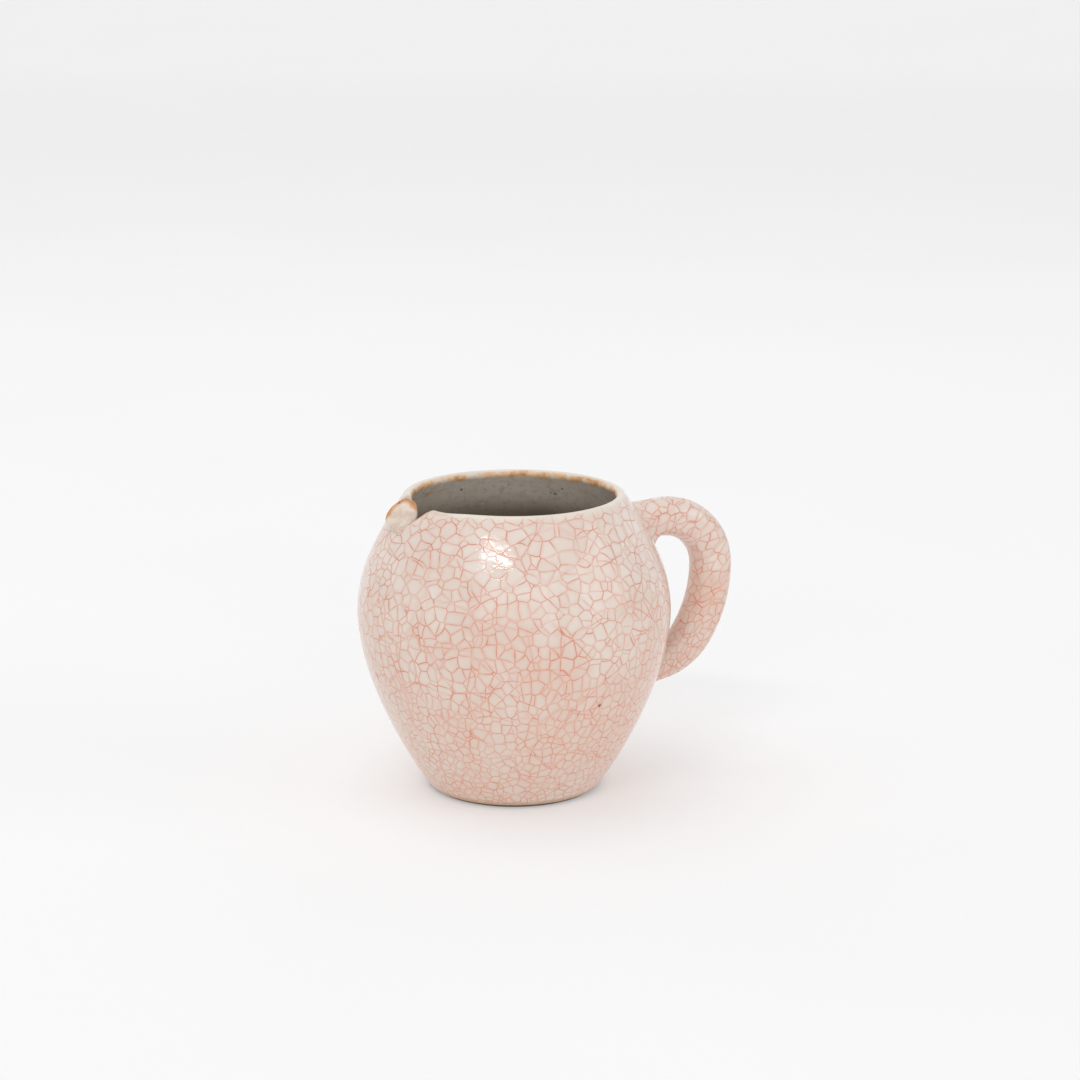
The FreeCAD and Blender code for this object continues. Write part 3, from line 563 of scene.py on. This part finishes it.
def backdrop_paper():
    """The pale seamless paper the jug stands on, glowing unevenly as painted light."""
    recipe = Recipe("backdrop_paper")
    place = recipe.place()
    cloud = recipe.mottle(place, 160.0, 2.0, 0.5, 1.0).outputs["Fac"]
    colour = recipe.blend(cloud, srgb(221, 221, 221), srgb(217, 217, 217))
    grain = recipe.mottle(place, 0.8, 2.0, 0.5, 2.0).outputs["Fac"]
    # Painted light: the paper glows, less in front of the jug and more far behind it, standing in
    # for light spread evenly over the sweep.
    behind = recipe.vector("DOT_PRODUCT", place, (*turn(90.0 + VIEW_TURN), 0.0))
    near = recipe.fade(behind, -700.0, 900.0, 0.26, 0.33)
    strength = recipe.math("ADD", near, recipe.fade(behind, 900.0, 5500.0, 0.0, 0.11))
    glow = {"Emission Color": srgb(254, 254, 255), "Emission Strength": strength}
    return recipe.finish(colour, 0.9, grain, 0.02, **{"Specular IOR Level": 0.1, **glow})


# ---------------------------------------------------------------- the wall's pieces


def outer_coat(material):
    """The outer glaze: a closed skin from the glaze line to just past the rim's crest."""

    def profile(azimuth):
        front = outside(azimuth, 0.0) + rim(azimuth, 0.0, 0.0, COAT_JOINT, 14)
        back = outside(azimuth, COAT) + rim(azimuth, COAT, 0.0, COAT_JOINT, 14)
        return front + back[::-1]

    return make_piece("outer_glaze_coat", turned_rings(profile), material, "joined",
                      wall_marks(profile))


def wall_marks(profile):
    """Two marks for the glazes: how far each point is past the crest, and how low it dips."""
    past, torn = [], []
    for azimuth in wall_azimuths():
        rim_turn = crest_turn(azimuth % 360.0)
        centre = on_arc(SHOULDER, SHOULDER_CURVE - ROUNDING, rim_turn)
        rows = profile(azimuth % 360.0)
        past.append([past_crest(r, z, centre) for r, z in rows])
        torn.append([CREST - crest_height(azimuth % 360.0)] * len(rows))
    return {
        "past_crest": [value for row in zip(*past) for value in row],
        "torn": [value for row in zip(*torn) for value in row],
    }


def past_crest(radius, height, centre):
    """Millimetres past the crest, negative outside, measured over the rounded rim."""
    over_rim = 1.65
    if height > centre[1] - 0.8:
        swing = math.atan2(height - centre[1], radius - centre[0])
        if swing < -math.pi / 2:
            swing += 2 * math.pi
        return (swing - math.pi / 2) * ROUNDING
    reach = math.hypot(radius - centre[0], height - centre[1]) + over_rim
    return reach if radius < outer_radius(height) - ROUNDING else -reach


def liner_coat(material):
    """The inner glaze: a closed skin from inside the crest down over the floor."""

    def profile(azimuth):
        front = rim(azimuth, 0.0, COAT_JOINT, RIM_END, 8) + inside(azimuth, 0.0)
        back = rim(azimuth, COAT, COAT_JOINT, RIM_END, 8) + inside(azimuth, COAT)
        middle = [(NEAR_AXIS, FLOOR_TOP), (NEAR_AXIS, FLOOR_TOP - COAT)]
        return front + middle + back[::-1]

    return make_piece("liner_glaze_coat", turned_rings(profile), material, "joined",
                      wall_marks(profile))


def clay_wall(material):
    """The clay between the two coats, down to the turned recess under the foot."""

    def profile(azimuth):
        buried = COAT - COAT_OVERLAP
        rows = outside(azimuth, buried) + rim(azimuth, buried, 0.0, RIM_END, 12)
        rows += inside(azimuth, buried)
        foot_height = FOOT_RECESS * 0.5
        under = [(FOOT_INNER * 0.5, FOOT_RECESS), (FOOT_INNER - 0.4, FOOT_RECESS)]
        under += [(FOOT_INNER + 0.3, foot_height), (FOOT_OUTER, foot_height)]
        middle = (NEAR_AXIS, FLOOR_TOP - buried)
        return [(NEAR_AXIS, FOOT_RECESS)] + under + rows + [middle]

    return make_piece("clay_wall", turned_rings(profile), material)


def foot(material):
    """The bare foot ring, with softened edges."""

    def profile(azimuth):
        wear = 0.12 * noise.noise(Vector((*turn(azimuth), 3.0)) * 3.0)
        top = 1.5
        side = outer_radius(GLAZE_LINE) - 0.42
        return [
            (FOOT_INNER - 0.5, top),
            (FOOT_INNER, 0.35),
            (FOOT_INNER + 0.5, 0.05 + abs(wear) * 0.2),
            (FOOT_INNER + 1.2, 0.0),
            (FOOT_OUTER - 0.5 + wear, 0.0),
            (FOOT_OUTER + 0.1 + wear, 0.08),
            (FOOT_OUTER + 0.7 + wear * 0.6, FOOT_BEVEL),
            (side, GLAZE_LINE),
            (side - 0.3, top),
        ]

    return make_piece("foot_ring_clay", turned_rings(profile), material, "joined")


# ---------------------------------------------------------------- handle

HANDLE_TOP = (45.6, 58.1)
TOP_CURVE = 16.2
SIDE_CURVE, SIDE_TURN = 37.3, -33.0
LOW_CURVE = 16.9
HALF_WIDTH = 6.0
HALF_DEPTH = 5.7
HANDLE_SIDES = 72
FAR_BELOW_RIM = -40.0


def handle_line(angle):
    """A point of the handle's centre line where it faces outwards at an angle."""
    side = touching(HANDLE_TOP, TOP_CURVE, SIDE_CURVE, 0.0)
    low = touching(side, SIDE_CURVE, LOW_CURVE, SIDE_TURN)
    if angle >= 0.0:
        return on_arc(HANDLE_TOP, TOP_CURVE, angle)
    if angle >= SIDE_TURN:
        return on_arc(side, SIDE_CURVE, angle)
    return on_arc(low, LOW_CURVE, max(angle, -90.0))


def handle_ring(angle):
    """Points round the handle at a turn of its centre line."""
    x, z = handle_line(angle)
    c, s = turn(angle)
    roundness = 0.88
    slender = smooth(-angle, 20.0, 85.0)
    high = smooth(angle, 20.0, 85.0)
    width = HALF_WIDTH * (1 - 0.15 * slender)
    outer = HALF_DEPTH * (1 - 0.08 * slender) - 0.35 * high - 0.6 * smooth(angle, 60.0, 96.0)
    inner = HALF_DEPTH * (1.10 - 0.18 * slender)
    ring = []
    for j in range(HANDLE_SIDES):
        around = 2 * math.pi * j / HANDLE_SIDES
        across = math.copysign(abs(math.cos(around)) ** roundness, math.cos(around))
        aside = math.copysign(abs(math.sin(around)) ** roundness, math.sin(around))
        depth = (outer if across > 0 else inner) * across
        ring.append(Vector((x + depth * c, width * aside, z + depth * s)))
    return pressed(ring)


def pressed(ring):
    """A ring drawn in slightly where fingers pressed the soft clay."""
    deepest, across = 0.035, 9.0
    middle = sum(ring, Vector()) / len(ring)
    soft = []
    for point in ring:
        dent = 0.5 + 0.5 * noise.noise(point / across + Vector((7.0, 1.0, 3.0)))
        soft.append(middle + (point - middle) * (1 - deepest * dent))
    return soft


def wall_point(aside, height, below):
    """The point of the outside at a distance aside of the XZ plane, some way below it."""
    azimuth = math.degrees(math.asin(aside / outer_radius(height)))
    return wall_spot(azimuth, height, below)


def meet_wall(point, direction):
    """Height and distance aside where a line from point reaches the outside."""
    step = 0.05
    at = point
    while math.hypot(at.x, at.y) > outer_radius(at.z):
        at = at + direction * step
    return at.y, at.z


def root(ring, direction, spread, drop, steps, reach):
    """Rings that carry the handle's end ring into the wall with a smooth flare.

    The flare is spread times as wide as the rod, and drop wider still on its underside."""
    met = [meet_wall(point, direction) for point in ring]
    middle_y = sum(y for y, z in met) / len(met)
    middle_z = sum(z for y, z in met) / len(met)
    deepest = middle_z - min(z for y, z in met)
    rings = [[] for i in range(steps + 1)]
    for point, (y, z) in zip(ring, met):
        low = max(middle_z - z, 0.0) / deepest
        wide = spread + drop * low
        foot_y = middle_y + (y - middle_y) * (spread - 0.08 * low)
        foot_z = middle_z + (z - middle_z) * wide
        lead = point + direction * reach
        foot_point = wall_point(foot_y, foot_z, 0.25)
        close = foot_point.lerp(wall_point(y, z, 0.0), 1.0 - 0.5 * low)
        for i in range(1, steps + 1):
            t = i / steps
            row = point * (1 - t) ** 3 + lead * (3 * t * (1 - t) ** 2)
            row += close * (3 * t * t * (1 - t)) + foot_point * t**3
            rings[i - 1].append(row)
        buried_y = middle_y + (foot_y - middle_y) * 0.9
        buried_z = middle_z + (foot_z - middle_z) * 0.9
        rings[steps].append(wall_point(buried_y, buried_z, 1.3))
    return rings


def handle(material):
    """The pulled handle: one rod from the shoulder, over the top and back to the wall."""
    first, last = 96.0, -78.0
    steps = 110
    body = [handle_ring(first + (last - first) * i / steps) for i in range(steps + 1)]
    c, s = turn(first)
    into_shoulder = Vector((-s, 0.0, c))
    c, s = turn(last)
    into_flank = Vector((s, 0.0, -c))
    upper = root(body[0], into_shoulder, spread=1.20, drop=1.45, steps=20, reach=1.6)
    lower = root(body[-1], into_flank, spread=1.16, drop=0.0, steps=16, reach=2.0)
    rings = upper[::-1] + body + lower
    count = sum(len(ring) for ring in rings)
    marks = {"past_crest": [FAR_BELOW_RIM] * count, "torn": [0.0] * count}
    return make_piece("handle_with_joints", rings, material, "capped", marks)


# ---------------------------------------------------------------- pouring lip

LIP_SIDES = 96
LIP_THICKNESS = 2.2
LIP_MIDDLE = (-33.0, 1.6, 81.3)
LIP_FACING = (-0.58, -0.10, 0.80)
LIP_OUTLINE = (
    (-28.4, 4.2, 84.0),
    (-30.2, 7.2, 84.3),
    (-33.7, 7.9, 82.2),
    (-36.7, 5.3, 79.8),
    (-37.4, 1.2, 78.3),
    (-36.4, -3.1, 77.8),
    (-34.2, -5.2, 79.3),
    (-32.2, -4.4, 80.9),
    (-29.4, 0.5, 81.6),
)


def through(points, t):
    """A smooth closed curve through a few points, t running from 0 to 1 round it."""
    i = int(t * len(points)) % len(points)
    u = t * len(points) % 1.0
    p0, p1, p2, p3 = (points[(i + k) % len(points)] for k in (-1, 0, 1, 2))
    return (
        p1 * 2 + (p2 - p0) * u
        + (p0 * 2 - p1 * 5 + p2 * 4 - p3) * u**2
        + (p1 * 3 - p0 - p2 * 3 + p3) * u**3
    ) * 0.5


def lip(material):
    """The lip: a flap of the torn rim folded outwards and down, its near side lower.

    Its rings run from the middle of the top, round the edge, to the middle underneath."""
    flat, far_edge = 0.7, 0.15
    outline = [Vector(p) for p in LIP_OUTLINE]
    middle = Vector(LIP_MIDDLE)
    facing = Vector(LIP_FACING).normalized()
    half = LIP_THICKNESS / 2
    profile = [(k / 10, 0.0) for k in range(1, 7)]
    profile += [(None, 180.0 * k / 12) for k in range(13)]
    profile += [(k / 10, LIP_THICKNESS) for k in range(6, 0, -1)]
    rings, marks = [], []
    for share, value in profile:
        ring = []
        for j in range(LIP_SIDES):
            t = j / LIP_SIDES
            arm = through(outline, t) - middle
            round_share = half / arm.length
            if share is None:
                c, s = turn(90.0 - value)
                spread = 1 - round_share + round_share * c
                sink = half - half * s
            else:
                spread = share / flat * (1 - round_share)
                sink = value
            hollow = 0.5 * (1 - spread * spread) * (1 - sink / LIP_THICKNESS)
            ring.append(middle + arm * spread - facing * (sink + hollow))
            off_far = abs((t - far_edge + 0.5) % 1.0 - 0.5)
            marks.append((1 - spread) * arm.length + 4.0 * smooth(off_far, 0.16, 0.30))
        rings.append(ring)
    return make_piece("pouring_lip_flap", rings, material, "capped", {"far_edge": marks})


# ---------------------------------------------------------------- stage


JUG_MIDDLE = Vector((0.0, 0.0, 0.045))


def sweep(material):
    """A seamless sweep: level floor that curves up behind the jug."""
    half, front, back, curve, top = 6.0, -4.0, 3.0, 1.6, 5.0
    profile = [(front, 0.0), (back, 0.0)]
    for i in range(1, 25):
        profile.append(on_arc((back, curve), curve, -90.0 + 90.0 * i / 24))
    profile.append((back + curve, top))
    points, faces = [], []
    for away, height in profile:
        for aside in (-half, half):
            points.append(seen(aside, away, height))
    for i in range(len(profile) - 1):
        faces.append((2 * i, 2 * i + 1, 2 * i + 3, 2 * i + 2))
    mesh = bpy.data.meshes.new("backdrop")
    mesh.from_pydata(points, [], faces)
    mesh.materials.append(material)
    mesh.shade_smooth()
    obj = bpy.data.objects.new("backdrop", mesh)
    bpy.context.scene.collection.objects.link(obj)
    obj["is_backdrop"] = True


def lamp(name, place, width, height, watts):
    """A white rectangular lamp that faces the middle of the jug."""
    data = bpy.data.lights.new(name, "AREA")
    data.shape = "RECTANGLE"
    data.size, data.size_y = width, height
    data.energy = watts
    obj = bpy.data.objects.new(name, data)
    bpy.context.scene.collection.objects.link(obj)
    obj.location = place
    facing = JUG_MIDDLE - obj.location
    obj.rotation_euler = facing.to_track_quat("-Z", "Y").to_euler()


def seen(right, away, up):
    """A point given right of, behind and above the jug as the camera faces it, in metres."""
    c, s = turn(VIEW_TURN)
    return Vector((right * c - away * s, right * s + away * c, up))


def lights():
    """An even white room, a small key lamp that gives the highlight, and three soft panels."""
    world = bpy.data.worlds.new("studio")
    bpy.context.scene.world = world
    world.use_nodes = True
    room = world.node_tree.nodes["Background"]
    room.inputs["Color"].default_value = (1.0, 1.0, 1.0, 1.0)
    room.inputs["Strength"].default_value = 0.55
    lamp("key_softbox", seen(-0.38, -1.15, 1.20), 0.66, 0.11, 3.2)
    lamp("top_panel", seen(-0.5, 0.1, 1.8), 1.6, 1.6, 8.0)
    lamp("front_panel", seen(0.1, -2.2, 0.85), 2.4, 1.2, 7.5)
    lamp("right_panel", seen(1.7, -0.5, 0.7), 1.2, 1.0, 4.0)


def camera():
    """A long lens in front of the jug and above it, tilted down a little."""
    tilt = 13.611
    data = bpy.data.cameras.new("camera")
    data.sensor_width = 36.0
    data.lens = 91.69
    data.clip_end = 50.0
    obj = bpy.data.objects.new("camera", data)
    bpy.context.scene.collection.objects.link(obj)
    obj.location = seen(0.007287, -0.750, 0.25248)
    obj.rotation_euler = (math.radians(90.0 - tilt), 0.0, math.radians(VIEW_TURN))
    bpy.context.scene.camera = obj


def main():
    """Builds every piece, hides the parts of the jug that they replace, and sets the stage."""
    outer = crackle_glaze("pink_crackle_glaze", coarse=12.0, fine=3.35)
    handle_skin = crackle_glaze("handle_crackle_glaze", coarse=10.0, fine=2.7)
    coat = outer_coat(outer)
    liner = liner_coat(liner_glaze())
    clay = clay_wall(bare_clay("porcelain_clay", (206, 192, 176)))
    # The foot's clay is much darker than the body's clay. Part of this is bare stoneware, and
    # part is painted shade for the dark line of shadow under the foot.
    ring = foot(bare_clay("foot_clay_painted_shade", (112, 86, 64)))
    rod = handle(handle_skin)
    flap = lip(lip_glaze())
    for piece in (coat, liner, clay, ring, rod, flap):
        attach(piece, "root")
    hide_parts("outer_glaze")
    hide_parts("inner_glaze")
    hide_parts("clay_body")
    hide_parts("foot_ring")
    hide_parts("handle", "handle_glaze", "upper_handle_joint", "lower_handle_joint")
    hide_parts("pouring_lip")
    sweep(backdrop_paper())
    lights()
    camera()
    bpy.context.scene.view_settings.view_transform = "Standard"


main()

corners = [list(corner) for corner in packed_size]
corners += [list(corner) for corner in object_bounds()]
